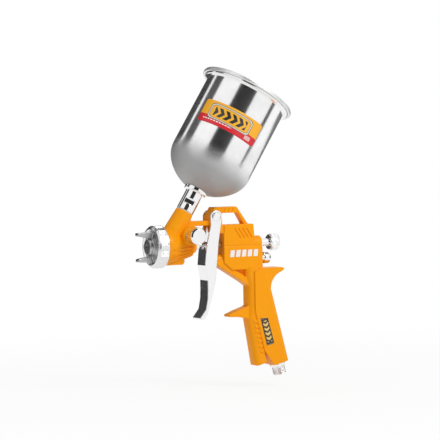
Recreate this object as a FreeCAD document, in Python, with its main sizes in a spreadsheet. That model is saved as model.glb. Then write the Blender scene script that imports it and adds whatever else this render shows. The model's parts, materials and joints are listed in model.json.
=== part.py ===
"""Gravity-feed HVLP spray gun: cast gun body, tilted paint cup, trigger, valves and nozzle set.

Frame: millimetres, +Z up. The origin is the centre of the air inlet's lower end face. The spray axis
is level and points along -X, and the gun's left side faces -Y.
"""
import FreeCAD, Part
import math
import os

import Sketcher
from FreeCAD import Placement, Rotation, Vector

doc = FreeCAD.newDocument("SprayGun")

# name, value (millimetres or degrees), what it is
DIMENSIONS = [
    ("spray_height", 130.0, "spray axis above the inlet's end"),
    ("inlet_setback", 82.0, "inlet's end behind the trigger web"),
    ("half_width", 7.75, "half width of the valve box"),
    ("neck_half_width", 6.6, "half width of the neck between the trigger arms"),
    ("hook_half_width", 4.4, "half width of the hanging hook"),
    ("grip_half_width", 10.8, "half width of the handle"),
    ("tang_half_width", 9.8, "half width of the handle's rear tang"),
    ("panel_step", 1.8, "how far the handle's back block stands proud of its front grip"),
    ("grip_rounding", 6.0, "rounding of the handle's front edges"),
    ("grip_slant", 14.0, "handle and inlet lean, degrees"),
    ("box_front", 19.5, "front of the valve box"),
    ("box_back", 61.5, "back of the valve box"),
    ("box_top", 19.0, "top of the valve box"),
    ("box_bottom", -25.2, "bottom of the valve box"),
    ("valve_drop", 15.0, "air valve axis below the spray axis"),
    ("hook_top", 36.3, "top of the hanging hook"),
    ("hook_gap", 30.3, "underside of the hanging hook"),
    ("drum_radius", 18.0, "radius of the head's drum"),
    ("drum_front", -44.0, "front of the head's drum"),
    ("drum_back", -39.4, "back of the head's drum"),
    ("cone_end", -9.7, "small end of the head's cone"),
    ("cone_end_radius", 7.4, "radius at the small end of the cone"),
    ("spigot_radius", 16.45, "threaded spigot that the cap ring screws on"),
    ("spigot_front", -48.2, "front of that spigot"),
    ("ring_front", -56.0, "front of the cap ring"),
    ("ring_radius", 20.4, "outer radius of the cap ring"),
    ("ring_mouth", 15.6, "radius of the cap ring's mouth"),
    ("cap_boss_radius", 7.8, "radius of the air cap's centre boss"),
    ("cap_boss_face", -59.4, "face of the air cap's centre boss"),
    ("horn_tip", -70.3, "tips of the air cap's horns"),
    ("horn_reach", 13.9, "outer edge of the horn tips from the axis"),
    ("needle_radius", 1.6, "radius of the fluid needle"),
    ("nozzle_thread", 4.5, "radius of the fluid nozzle's thread"),
    ("packing_radius", 3.4, "radius of the needle's packing chamber"),
    ("spring_bore", 5.0, "radius of the needle spring's chamber"),
    ("plunger_bore", 2.9, "bore of the bush that the fluid knob turns in"),
    ("valve_bore", 4.6, "radius of the air valve's chamber"),
    ("valve_stem_radius", 1.5, "radius of the air valve's stem"),
    ("gland_radius", 3.2, "radius of the air valve's packing gland"),
    ("fan_thread", 5.2, "radius of the fan control's thread"),
    ("spindle_radius", 2.5, "radius of the fan control's spindle"),
    ("cup_tilt", 32.0, "cup axis from the vertical, degrees"),
    ("socket_x", -19.1, "cup socket's mouth, along the gun"),
    ("socket_z", 32.3, "cup socket's mouth, above the spray axis"),
    ("socket_radius", 8.7, "cup socket's outer radius at its mouth"),
    ("stem_radius", 8.65, "outer radius of the cup's neck"),
    ("stem_length", 22.2, "length of the cup's neck below its flange"),
    ("stem_bore", 4.2, "bore of the cup's neck"),
    ("stem_thread", 6.4, "radius of the thread below the cup's neck"),
    ("cup_radius", 41.1, "outer radius of the cup"),
    ("cup_length", 110.0, "cup from the bottom of its dome to the rim"),
    ("cup_wall", 0.8, "thickness of the cup's sheet"),
    ("dome_radius", 44.9, "radius of the cup's domed bottom"),
    ("bead_radius", 44.6, "outer radius of the cup's rolled rim"),
    ("lid_radius", 47.3, "outer radius of the lid's skirt"),
    ("label_height", 23.4, "height of the cup's label"),
    ("label_wrap", 91.0, "angle that the label covers, degrees"),
    ("label_drop", 29.8, "top of the label below the rim"),
    ("knob_radius", 8.2, "radius of the two adjusting knobs"),
    ("fluid_knob_front", 72.0, "front of the fluid knob"),
    ("fluid_knob_length", 9.6, "length of the fluid knob"),
    ("bush_radius", 3.9, "radius of the bush behind the valve box"),
    ("fan_x", -18.4, "fan control axis, along the gun"),
    ("fan_z", 9.9, "fan control axis, above the spray axis"),
    ("fan_boss_radius", 9.5, "radius of the fan control boss"),
    ("fan_boss_reach", 16.0, "face of the fan control boss from the middle"),
    ("fan_knob_length", 10.8, "length of the fan knob"),
    ("pivot_x", 11.2, "trigger pivot, along the gun"),
    ("pivot_z", 27.1, "trigger pivot, above the spray axis"),
    ("pin_radius", 2.5, "radius of the trigger's pivot pin"),
    ("trigger_half_width", 8.5, "half width of the trigger over its arms"),
    ("trigger_sheet", 1.6, "thickness of the trigger's arms"),
    ("web_sheet", 2.0, "thickness of the trigger's front web"),
    ("trigger_eye", 6.4, "radius of the trigger's eye"),
    ("inlet_thread", 6.58, "outer radius of the G 1/4 inlet thread"),
    ("inlet_bore", 3.6, "bore of the inlet nipple"),
    ("inlet_reach", 12.0, "inlet's end below the handle's foot"),
    ("running_gap", 0.05, "radial gap of a turning or sliding fit"),
    ("part_gap", 0.3, "gap between moving pieces that don't touch"),
]

sheet = doc.addObject("Spreadsheet::Sheet", "dims")
for line_number, (alias, number, note) in enumerate(DIMENSIONS, start=1):
    sheet.set(f"A{line_number}", note)
    sheet.set(f"B{line_number}", str(number))
    sheet.setAlias(f"B{line_number}", alias)
doc.recompute()


class Size:
    """A length or angle together with the expression that ties it to the sheet."""

    def __init__(self, text, value):
        self.text = text
        self.value = value

    def __add__(self, other):
        return combine(self, other, "+", lambda a, b: a + b)

    def __radd__(self, other):
        return combine(other, self, "+", lambda a, b: a + b)

    def __sub__(self, other):
        return combine(self, other, "-", lambda a, b: a - b)

    def __rsub__(self, other):
        return combine(other, self, "-", lambda a, b: a - b)

    def __mul__(self, other):
        return combine(self, other, "*", lambda a, b: a * b)

    def __rmul__(self, other):
        return combine(other, self, "*", lambda a, b: a * b)

    def __truediv__(self, other):
        return combine(self, other, "/", lambda a, b: a / b)

    def __neg__(self):
        return combine(0, self, "-", lambda a, b: a - b)


def size(value):
    if isinstance(value, Size):
        return value
    return Size(f"({value:.8g})", float(value))


def combine(left, right, sign, rule):
    left, right = size(left), size(right)
    return Size(f"({left.text} {sign} {right.text})", rule(left.value, right.value))


def sine(angle):
    return Size(f"sin({angle.text})", math.sin(math.radians(angle.value)))


def cosine(angle):
    return Size(f"cos({angle.text})", math.cos(math.radians(angle.value)))


def root(square):
    return Size(f"sqrt({square.text})", math.sqrt(square.value))


class Dimensions:
    """The sheet's cells by name, each as a Size."""

    def __getattr__(self, name):
        return Size(f"dims.{name}", float(sheet.get(name)))


d = Dimensions()
gap = d.running_gap
clear = d.part_gap


def bind(target, path, value):
    if isinstance(value, Size):
        target.setExpression(path, value.text)


class Seat:
    """A local frame: a place, and a turn about one axis."""

    def __init__(self, x, y, z, axis=(0, 0, 1), angle=0):
        self.place = [size(x), size(y), size(z)]
        self.axis = Vector(*axis)
        self.angle = size(angle)

    def hold(self, body):
        base = Vector(*[value.value for value in self.place])
        body.Placement = Placement(base, Rotation(self.axis, self.angle.value))
        for letter, value in zip("xyz", self.place):
            body.setExpression(f"Placement.Base.{letter}", value.text)
        body.setExpression("Placement.Rotation.Angle", self.angle.text)


GUN = Seat(-d.inlet_setback, 0, d.spray_height)
SPRAY = Seat(-d.inlet_setback, 0, d.spray_height, (0, 1, 0), 90)
VALVE = Seat(-d.inlet_setback, 0, d.spray_height - d.valve_drop, (0, 1, 0), 90)
CUP = Seat(d.socket_x - d.inlet_setback, 0, d.socket_z + d.spray_height, (0, 1, 0), d.cup_tilt)
INLET = Seat(0, 0, 0, (0, -1, 0), d.grip_slant)
FAN = Seat(d.fan_x - d.inlet_setback, 0, d.fan_z + d.spray_height, (1, 0, 0), 90)
PIVOT = Seat(d.pivot_x - d.inlet_setback, 0, d.pivot_z + d.spray_height, (1, 0, 0), 90)

pieces = []


def arc_edge(start, end, radius):
    """Arc of less than half a turn; a positive radius has its centre on the left of the way."""
    chord = end - start
    middle = (start + end) * 0.5
    height = math.sqrt(max(radius * radius - chord.Length * chord.Length / 4, 0.0))
    side = Vector(-chord.y, chord.x, 0).normalize() * math.copysign(1, radius)
    centre = middle + side * height
    top = centre - side * abs(radius)
    return Part.Arc(start, top, end)


class Piece:
    """One real piece of the gun, as a PartDesign body in a local frame."""

    def __init__(self, name, seat):
        self.body = doc.addObject("PartDesign::Body", name)
        self.body.Label = name
        self.name = name
        self.count = 0
        self.volume = 0.0
        seat.hold(self.body)
        pieces.append(self)

    def sketch(self, plane, outlines, circles, lift, at, turn):
        self.count += 1
        sketch = self.body.newObject("Sketcher::SketchObject", f"{self.name}_sketch{self.count}")
        origin = [f for f in self.body.Origin.OriginFeatures if f.Role == plane][0]
        sketch.AttachmentSupport = [(origin, "")]
        sketch.MapMode = "FlatFace"
        x, y, lift, turn = size(at[0]), size(at[1]), size(lift), size(turn)
        offset = Vector(x.value, y.value, lift.value)
        sketch.AttachmentOffset = Placement(offset, Rotation(Vector(0, 0, 1), turn.value))
        sketch.setExpression("AttachmentOffset.Base.x", x.text)
        sketch.setExpression("AttachmentOffset.Base.y", y.text)
        sketch.setExpression("AttachmentOffset.Base.z", lift.text)
        sketch.setExpression("AttachmentOffset.Rotation.Angle", turn.text)
        for outline in outlines:
            draw_outline(sketch, outline)
        for circle in circles:
            draw_circle(sketch, *circle)
        return sketch

    def feature(self, kind, sketch):
        feature = self.body.newObject(f"PartDesign::{kind}", f"{self.name}_{kind.lower()}{self.count}")
        feature.Profile = sketch
        return feature

    def settle(self, cuts):
        """Recompute, and stop if the last feature left the solid as it was."""
        doc.recompute()
        volume = self.body.Shape.Volume
        changed = volume < self.volume - 1e-6 if cuts else volume > self.volume + 1e-6
        if not changed:
            raise RuntimeError(f"{self.name}: feature {self.count} changed nothing")
        self.volume = volume

    def revolve(self, outline, cut=False, at=(0, 0), turn=0, angle=360):
        sketch = self.sketch("XZ_Plane", [outline], [], 0, at, turn)
        feature = self.feature("Groove" if cut else "Revolution", sketch)
        feature.ReferenceAxis = (sketch, ["V_Axis"])
        feature.Angle = size(angle).value
        bind(feature, "Angle", angle)
        if size(angle).value < 360:
            feature.Midplane = True
        self.settle(cut)
        return feature

    def extrude(self, length, outlines=(), circles=(), cut=False, both=False, plane="XZ_Plane",
                lift=0, at=(0, 0), turn=0, back=False):
        sketch = self.sketch(plane, outlines, circles, lift, at, turn)
        feature = self.feature("Pocket" if cut else "Pad", sketch)
        feature.Length = size(length).value
        bind(feature, "Length", length)
        if both:
            feature.SideType = "Symmetric"
        feature.Reversed = back
        self.settle(cut)
        return feature

    def repeat_around(self, features, count, axis="Z_Axis"):
        pattern = self.body.newObject("PartDesign::PolarPattern", f"{self.name}_around{self.count}")
        pattern.Originals = features
        line = [f for f in self.body.Origin.OriginFeatures if f.Role == axis][0]
        pattern.Axis = (line, [""])
        pattern.Angle = 360
        pattern.Occurrences = count
        self.body.Tip = pattern
        doc.recompute()
        self.volume = self.body.Shape.Volume
        return pattern

    def mirror(self, features, plane="XZ_Plane"):
        pattern = self.body.newObject("PartDesign::Mirrored", f"{self.name}_mirror{self.count}")
        pattern.Originals = features
        face = [f for f in self.body.Origin.OriginFeatures if f.Role == plane][0]
        pattern.MirrorPlane = (face, [""])
        self.body.Tip = pattern
        doc.recompute()
        self.volume = self.body.Shape.Volume
        return pattern

    def round_edges(self, radius, chosen, kind="Fillet"):
        """Fillet or chamfer the edges for which chosen(middle, edge) is true."""
        self.count += 1
        base = self.body.Tip
        names = []
        for number, edge in enumerate(base.Shape.Edges, start=1):
            middle = edge.valueAt((edge.FirstParameter + edge.LastParameter) / 2)
            if chosen(middle, edge):
                names.append(f"Edge{number}")
        feature = self.body.newObject(f"PartDesign::{kind}", f"{self.name}_{kind.lower()}{self.count}")
        feature.Base = (base, names)
        path = "Radius" if kind == "Fillet" else "Size"
        setattr(feature, path, size(radius).value)
        bind(feature, path, radius)
        self.body.Tip = feature
        doc.recompute()
        self.volume = self.body.Shape.Volume
        return feature


def draw_outline(sketch, corners):
    """Closed outline. A corner (x, y, radius) starts an arc; (x, y) starts a straight side."""
    first = sketch.GeometryCount
    points = [Vector(size(c[0]).value, size(c[1]).value, 0) for c in corners]
    edges = []
    for number, corner in enumerate(corners):
        start, end = points[number], points[(number + 1) % len(points)]
        if len(corner) == 3:
            edges.append(arc_edge(start, end, size(corner[2]).value))
        else:
            edges.append(Part.LineSegment(start, end))
    sketch.addGeometry(edges, False)
    starts = []
    ends = []
    for number, corner in enumerate(corners):
        clockwise = len(corner) == 3 and size(corner[2]).value < 0
        starts.append(2 if clockwise else 1)
        ends.append(1 if clockwise else 2)
    for number, corner in enumerate(corners):
        here = first + number
        after = first + (number + 1) % len(corners)
        joint = Sketcher.Constraint("Coincident", here, ends[number], after,
                                    starts[(number + 1) % len(corners)])
        sketch.addConstraint(joint)
        place_point(sketch, here, starts[number], corner)
        if len(corner) == 3:
            radius = size(corner[2])
            limit = sketch.addConstraint(Sketcher.Constraint("Radius", here, abs(radius.value)))
            if isinstance(corner[2], Size):
                sketch.setExpression(f"Constraints[{limit}]", f"abs({radius.text})")


def place_point(sketch, edge, vertex, corner):
    for kind, axis, value in (("DistanceX", -2, corner[0]), ("DistanceY", -1, corner[1])):
        number = size(value).value
        if abs(number) < 1e-9 and not isinstance(value, Size):
            sketch.addConstraint(Sketcher.Constraint("PointOnObject", edge, vertex, axis))
            continue
        rule = Sketcher.Constraint(kind, -1, 1, edge, vertex, number)
        index = sketch.addConstraint(rule)
        if isinstance(value, Size):
            sketch.setExpression(f"Constraints[{index}]", value.text)


def draw_circle(sketch, x, y, radius):
    index = sketch.GeometryCount
    centre = Vector(size(x).value, size(y).value, 0)
    sketch.addGeometry(Part.Circle(centre, Vector(0, 0, 1), size(radius).value), False)
    place_point(sketch, index, 3, (x, y))
    rule = sketch.addConstraint(Sketcher.Constraint("Radius", index, size(radius).value))
    if isinstance(radius, Size):
        sketch.setExpression(f"Constraints[{rule}]", radius.text)


def polygon(sides, flat_radius):
    """Corners of a regular polygon whose flats lie flat_radius from the middle."""
    corner = flat_radius / math.cos(math.pi / sides)
    turns = [2 * math.pi * (n + 0.5) / sides for n in range(sides)]
    return [(corner * math.cos(a), corner * math.sin(a)) for a in turns]


def sleeve(inner, outer, start, end, edge=0.3):
    """Outline of a tube with broken outer corners: radius, station."""
    return [(inner, start), (outer - edge, start), (outer, start + edge), (outer, end - edge),
            (outer - edge, end), (inner, end)]


# ------------------------------------------------------------------ gun body
# Stations in this section are measured from the spray axis above the trigger web.

foot_x = d.inlet_setback - d.inlet_reach * sine(d.grip_slant)
foot_z = d.inlet_reach * cosine(d.grip_slant) - d.spray_height
across_x = cosine(d.grip_slant)
across_z = sine(d.grip_slant)
BACK_REACH = 8.8
FRONT_REACH = 8.6
GRIP_FRONT_X = 45.5
PANEL_FRONT_X = 51.0
TANG_TIP_X = 84.0
BUSH_WALL = 0.8


def make_gun_body():
    gun = Piece("gun_body", GUN)
    half = d.half_width
    along = -90

    # Handle: a rounded front grip and a wider back block, with a notch between their feet.
    grip_foot_x = foot_x - 27.1
    grip_foot_z = foot_z - 0.8
    notch_x = foot_x - 18.6
    notch_z = foot_z + 12.6
    front_grip = [
        (43.0, d.box_bottom + 3), (43.0, d.box_bottom - 6), (GRIP_FRONT_X, -40), (GRIP_FRONT_X, -61),
        (44.6, -74), (grip_foot_x, grip_foot_z), (grip_foot_x + 1.6, grip_foot_z - 1.0),
        (grip_foot_x + 8.8, grip_foot_z + 1.2), (grip_foot_x + 11.0, grip_foot_z + 3.2),
        (notch_x, notch_z), (58.0, -70), (58.0, d.box_bottom + 3),
    ]
    gun.extrude(d.grip_half_width * 2 - 2 * d.panel_step, [front_grip], both=True)
    grip_side = d.grip_half_width.value - d.panel_step.value - 0.1

    def front_edge(middle, edge):
        return abs(middle.y) > grip_side and edge.BoundBox.ZLength > 4 and middle.x < 50

    gun.round_edges(d.grip_rounding, front_edge)
    back_block = [
        (PANEL_FRONT_X, d.box_bottom - 2.6), (PANEL_FRONT_X, -66.5), (notch_x, notch_z),
        (foot_x - FRONT_REACH * across_x, foot_z - FRONT_REACH * across_z),
        (foot_x + BACK_REACH * across_x, foot_z + BACK_REACH * across_z),
        (69.0, -41), (66.0, d.box_bottom - 0.6), (54.0, d.box_bottom - 0.6),
    ]
    gun.extrude(d.grip_half_width * 2, [back_block], both=True)
    block_side = d.grip_half_width.value - 0.1

    def back_edge(middle, edge):
        return abs(middle.y) > block_side and edge.BoundBox.ZLength > 10 and middle.x > 66

    gun.round_edges(d.grip_rounding - 1.5, back_edge)

    spur = [
        (52, -58.5), (44, -62.0), (34, -65.2), (25.2, -68.6, 1.3), (25.6, -71.1), (35, -71.4), (44, -73.2),
        (52, -76),
    ]
    gun.extrude(12.0, [spur], both=True)
    tang = [
        (56, d.box_bottom + 2), (d.box_back, d.box_bottom + 0.6), (82.4, -24.6), (TANG_TIP_X, -25.6),
        (TANG_TIP_X - 0.2, -27.0), (80.0, -29.2, 17.0), (69.0, -45.0), (60, -45),
    ]
    gun.extrude(d.tang_half_width * 2, [tang], both=True)

    # Valve box with its upper block, neck and hanging hook.
    box = [
        (d.box_front, 10.8), (d.box_front, -17.5), (d.box_front + 8.7, d.box_bottom),
        (d.box_back, d.box_bottom), (d.box_back, -3.0), (d.box_back - 8.5, -3.0), (d.box_back - 8.5, 6.3),
        (d.box_back - 9.6, d.box_top), (d.box_front + 0.7, d.box_top), (d.box_front + 0.7, 10.8),
    ]
    gun.extrude(half * 2, [box], both=True)
    neck = [
        (5.4, 18.7), (15.0, 18.7), (16.0, 10.8), (d.box_front + 2, 10.8), (d.box_front + 2, d.box_top),
        (18.4, d.box_top), (18.4, d.hook_gap), (18.4, d.hook_top), (10.8, d.hook_top), (8.2, 32.0),
        (5.4, 28.0),
    ]
    gun.extrude(d.neck_half_width * 2, [neck], both=True)
    hook = [
        (10.8, d.hook_top), (14, d.hook_gap), (36.6, d.hook_gap), (43.0, d.box_top), (43.0, d.box_top - 2),
        (48.6, d.box_top - 2), (47.5, d.box_top), (36.0, d.hook_top - 0.6), (34.8, d.hook_top),
    ]
    gun.extrude(d.hook_half_width * 2, [hook], both=True)
    gun.revolve([(0, 40), (7.1, 40), (7.1, d.box_back), (0, d.box_back)], turn=along)

    # Head: drum, ribbed cone, threaded spigot, cup socket, fan boss, pad and the bar to the neck.
    gun.revolve([
        (0, d.spigot_front), (d.spigot_radius, d.spigot_front), (d.spigot_radius, d.drum_front),
        (d.drum_radius, d.drum_front), (d.drum_radius, d.drum_back),
        (d.cone_end_radius, d.cone_end), (0, d.cone_end),
    ], turn=along)
    socket_turn = -d.cup_tilt
    socket_place = (d.socket_x, d.socket_z)
    gun.revolve([(0, -34), (d.socket_radius + 2.2, -34), (d.socket_radius + 1.4, -20),
                 (d.socket_radius, 0), (0, 0)], at=socket_place, turn=socket_turn)
    gun.extrude(d.fan_boss_reach, circles=[(d.fan_x, d.fan_z, d.fan_boss_radius)])
    gun.extrude(7.5, circles=[(d.fan_x, d.fan_z, d.fan_boss_radius)], back=True)
    shoulder = [
        (d.drum_back - 2, 0), (d.drum_back - 2, 12), (-36, 17), (-24, 26.5), (-12, 23.6), (-9.9, 8),
        (-9.9, 0),
    ]
    gun.extrude(11.0, [shoulder], both=True)
    pad = [(d.drum_back - 0.2, 0), (d.drum_back - 0.2, -17.8), (-24.6, -17.8), (-22.8, -15.6), (-22.8, 0)]
    gun.extrude(13.0, [pad], both=True)
    bar = [(-16, 18.7), (8, 18.7), (8, 23.5), (-16, 23.5)]
    gun.extrude(10.0, [bar], both=True)

    # Air valve boss under the spray axis, and the strut from it down to the handle.
    drop = -d.valve_drop
    gun.revolve([(0, 10.5), (4.6, 10.5), (5.0, 11.2), (5.0, 26), (0, 26)], at=(0, drop), turn=along)
    strut = [
        (11.4, drop - 2), (12.2, drop - 4.7), (40.8, -37.8), (46.5, -42), (46.5, -34), (42.6, -32.2),
        (26.5, -22.0), (21, -17.5), (21, drop),
    ]
    gun.extrude(12.0, [strut], both=True)
    web = [(22, -19), (44, -34), (48, -34), (48, -24), (30, -24)]
    gun.extrude(4.0, [web], both=True)

    # Longitudinal ribs of the cone, on both sides and underneath.
    for angle in (-150, -126, -102, -78, -54, -30):
        rise = math.radians(angle)
        rib = [(0, -38.5), (d.drum_radius + 0.6, -38.5), (d.cone_end_radius + 1.7, -14), (0, -14)]
        make_rib(gun, rib, rise)
    carve_gun_body(gun)
    return gun


def make_rib(gun, outline, angle):
    """A slice of revolution 4 degrees wide, standing off the cone."""
    sketch = gun.sketch("XZ_Plane", [outline], [], 0, (0, 0), -90)
    feature = gun.feature("Revolution", sketch)
    feature.ReferenceAxis = (sketch, ["V_Axis"])
    feature.Angle = 5
    feature.Midplane = True
    turn = Rotation(Vector(1, 0, 0), math.degrees(angle) + 90)
    base = Rotation(Vector(1, 0, 0), 90)
    sketch.MapMode = "Deactivated"
    sketch.Placement = Placement(Vector(0, 0, 0), turn * base * Rotation(Vector(0, 0, 1), -90))
    gun.settle(False)


def carve_gun_body(gun):
    """Bores, chambers, grooves and the pockets that the other pieces sit in."""
    along = -90
    drop = -d.valve_drop
    # Fluid side: nozzle thread and gallery, needle way, packing chamber, cup thread.
    gun.revolve([(0, d.spigot_front - 1), (d.nozzle_thread, d.spigot_front - 1), (d.nozzle_thread, -45),
                 (3.4, -44), (3.4, -35),
                 (d.needle_radius + 0.4, -32), (d.needle_radius + 0.4, -18), (0, -18)], True, turn=along)
    gun.revolve([(0, -18.5), (d.packing_radius, -18.5), (d.packing_radius, -9), (0, -9)], True, turn=along)
    air_ring = d.spigot_radius - 3.05
    gun.revolve([(8.6, d.spigot_front - 1), (air_ring, d.spigot_front - 1), (air_ring, -46.5),
                 (8.6, -46.5)],
                True, turn=along)
    place = (d.socket_x, d.socket_z)
    gun.revolve([(0, -34.5), (3.2, -34.5), (3.2, -13.4), (d.stem_thread + gap, -12.2),
                 (d.stem_thread + gap, 1),
                 (0, 1)], True, at=place, turn=-d.cup_tilt)
    # Fan control thread and its air way into the head's annulus.
    gun.extrude(d.fan_boss_reach + 0.2, circles=[(d.fan_x, d.fan_z, d.fan_thread)], cut=True,
                lift=d.fan_boss_reach + 0.1)
    # Needle way, spring chamber and bush thread in the valve box.
    way = d.needle_radius + BUSH_WALL
    gun.revolve([(0, 15), (way, 15), (way, 27), (d.spring_bore, 27), (d.spring_bore, d.box_back + 1),
                 (0, d.box_back + 1)], True, turn=along)
    # Air valve: stem way, packing and gland, seat, spring chamber and cap thread.
    stem_way = d.valve_stem_radius + 0.4
    gun.revolve([(0, 9), (d.gland_radius, 9), (d.gland_radius, 15.5), (stem_way, 15.5), (stem_way, 20.5),
                 (d.valve_bore, 20.5), (d.valve_bore, d.box_back + 1), (0, d.box_back + 1)], True,
                at=(0, drop), turn=along)
    # Air way up the handle from the inlet thread to the valve chamber.
    gun.revolve([(0, d.inlet_reach - 1), (d.inlet_thread - 0.2, d.inlet_reach - 1),
                 (d.inlet_thread - 0.2, d.inlet_reach + 13), (4.2, d.inlet_reach + 15),
                 (4.2, 104), (3.4, 104), (3.4, 113), (0, 113)], True,
                at=(d.inlet_setback, -d.spray_height), turn=d.grip_slant)
    # Pivot hole.
    gun.extrude(40, circles=[(d.pivot_x, d.pivot_z, d.pin_radius)], cut=True, both=True)
    # Parting groove and four slanted grooves on both sides of the box.
    groove = [(d.box_front - 1, -2.2), (d.box_back + 1, -2.2), (d.box_back + 1, -1.2),
              (d.box_front - 1, -1.2)]
    cuts = [gun.extrude(1.8, [groove], cut=True, lift=d.half_width - 0.6, back=True)]
    for number in range(4):
        left = 30.2 + number * 4.2
        slot = [(left, 15.3), (left + 6.6, 5.4), (left + 8.1, 5.4), (left + 1.5, 15.3)]
        cuts.append(gun.extrude(1.8, [slot], cut=True, lift=d.half_width - 1.0, back=True))
    for number in range(3):
        left = 20.4 + number * 4.4
        slot = [(left, d.hook_gap + 1.0), (left + 2.3, d.hook_top - 1.0), (left + 3.5, d.hook_top - 1.0),
                (left + 1.2, d.hook_gap + 1.0)]
        cuts.append(gun.extrude(1.8, [slot], cut=True, lift=d.hook_half_width - 0.9, back=True))
    gun.mirror(cuts)


def grip_bumps(gun):
    """Seven short ribs for the fingers on each side of the handle."""
    bumps = []
    lean = 0.222
    for number in range(7):
        low = -107.0 + number * 4.9
        left = 48.6 + lean * (-low - 74)
        bump = [(left, low), (left + 3.7, low - 0.6), (left + 3.7, low + 2.4), (left, low + 3.0)]
        bumps.append(gun.extrude(1.3, [bump], lift=d.grip_half_width - d.panel_step - 0.3))
    gun.mirror(bumps)


gun_body = make_gun_body()
grip_bumps(gun_body)


# ------------------------------------------------------------------ air inlet
nipple_face = d.inlet_reach - 0.8
nipple = Piece("air_inlet_nipple", INLET)
nipple.revolve([(d.inlet_bore, 0), (d.inlet_thread, 0), (d.inlet_thread, 7.9),
                (d.inlet_thread - 0.8, 8.5), (d.inlet_thread - 0.8, 9.2),
                (d.inlet_thread - 0.4, 9.2), (d.inlet_thread - 0.4, 22), (d.inlet_bore, 22)])
nipple.extrude(nipple_face - 8.9, [polygon(6, 7.6)], plane="XY_Plane", lift=8.9)
nipple.extrude(30, circles=[(0, 0, d.inlet_bore)], cut=True, both=True, plane="XY_Plane", lift=10)
inlet_washer = Piece("inlet_washer", INLET)
inlet_washer.revolve([(d.inlet_thread - 0.2, nipple_face), (8.0, nipple_face), (8.0, d.inlet_reach),
                      (d.inlet_thread - 0.2, d.inlet_reach)])

# ------------------------------------------------------------------ nozzle set
distributor_front = d.spigot_front - 2.2
nozzle_flange = distributor_front - 1.8
fluid_nozzle = Piece("fluid_nozzle", SPRAY)
fluid_nozzle.revolve([
    (d.needle_radius + 1.0, -45.2), (d.nozzle_thread, -45.2), (d.nozzle_thread, d.spigot_front - 1.4),
    (5.9, d.spigot_front - 1.4),
    (5.9, distributor_front), (7.4, distributor_front), (7.4, nozzle_flange), (4.8, nozzle_flange),
    (1.9, nozzle_flange - 4.0), (1.9, d.cap_boss_face - 0.4), (0.7, d.cap_boss_face - 0.4),
    (d.needle_radius + 0.6, nozzle_flange + 0.5), (d.needle_radius + 1.0, nozzle_flange + 2.0),
])
nozzle_gasket = Piece("nozzle_gasket", SPRAY)
gasket_bore = d.nozzle_thread + 0.1
nozzle_gasket.revolve([(gasket_bore, d.spigot_front - 1.3), (7.6, d.spigot_front - 1.3),
                       (7.6, d.spigot_front), (gasket_bore, d.spigot_front)])
air_distributor = Piece("air_distributor", SPRAY)
distributor_radius = d.spigot_radius - 0.65
air_distributor.revolve([(5.95, distributor_front), (distributor_radius, distributor_front),
                         (distributor_radius, d.spigot_front),
                         (7.7, d.spigot_front), (7.7, d.spigot_front - 1.35),
                         (5.95, d.spigot_front - 1.35)])
air_hole = air_distributor.extrude(8, circles=[(d.spigot_radius - 5.45, 0, 1.2)], cut=True, both=True,
                                   plane="XY_Plane",
                                   lift=d.spigot_front)
air_distributor.repeat_around([air_hole], 12)

cap_back = distributor_front - 0.3
cap_flange = cap_back - 2.4
cap_dish = cap_flange - 1.0
horn_root = cap_flange + 0.6
air_cap = Piece("air_cap", SPRAY)
air_cap.revolve([
    (8.5, cap_back), (d.spigot_radius - 0.25, cap_back), (d.spigot_radius - 0.25, cap_flange),
    (d.ring_mouth - 0.6, cap_flange), (d.ring_mouth - 1.0, cap_dish + 0.2), (d.ring_mouth - 1.6, cap_dish),
    (d.cap_boss_radius + 0.6, cap_dish - 1.6), (d.cap_boss_radius, d.cap_boss_face + 0.6),
    (d.cap_boss_radius - 0.6, d.cap_boss_face), (2.4, d.cap_boss_face), (2.4, d.cap_boss_face + 1.4),
    (8.2, cap_back - 2.6),
])
horn = [(d.horn_reach + 0.6, horn_root), (d.horn_reach + 0.6, d.ring_front - 3),
        (d.horn_reach, d.horn_tip + 0.6),
        (d.horn_reach - 0.6, d.horn_tip), (d.horn_reach - 2.4, d.horn_tip),
        (d.horn_reach - 3.1, d.horn_tip + 0.8), (8.6, d.ring_front - 1.5), (8.6, horn_root)]
horns = air_cap.extrude(6.4, [horn], both=True)
air_cap.mirror([horns], "YZ_Plane")
horn_hole = air_cap.extrude(5, circles=[(d.horn_reach - 1.5, 0, 0.7)], cut=True, plane="XY_Plane",
                            lift=d.horn_tip + 1.0, back=True)
air_cap.mirror([horn_hole], "YZ_Plane")

cap_ring = Piece("cap_ring", SPRAY)
lip_back = cap_flange - 0.2
ring_back = d.drum_front - 0.2
cap_ring.revolve([
    (d.ring_mouth, lip_back - 1.2), (d.ring_mouth + 1.4, d.ring_front), (d.ring_mouth + 2.0, d.ring_front),
    (d.ring_radius, d.ring_front + 2.2), (d.ring_radius, ring_back - 0.7), (d.ring_radius - 0.7, ring_back),
    (d.spigot_radius + gap, ring_back), (d.spigot_radius + gap, lip_back), (d.ring_mouth, lip_back),
])
grip_cut = cap_ring.extrude(7.4, circles=[(d.ring_radius + 0.9, 0, 1.5)], cut=True, plane="XY_Plane",
                            lift=ring_back - 1.6, back=False)
cap_ring.repeat_around([grip_cut], 24)

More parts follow.
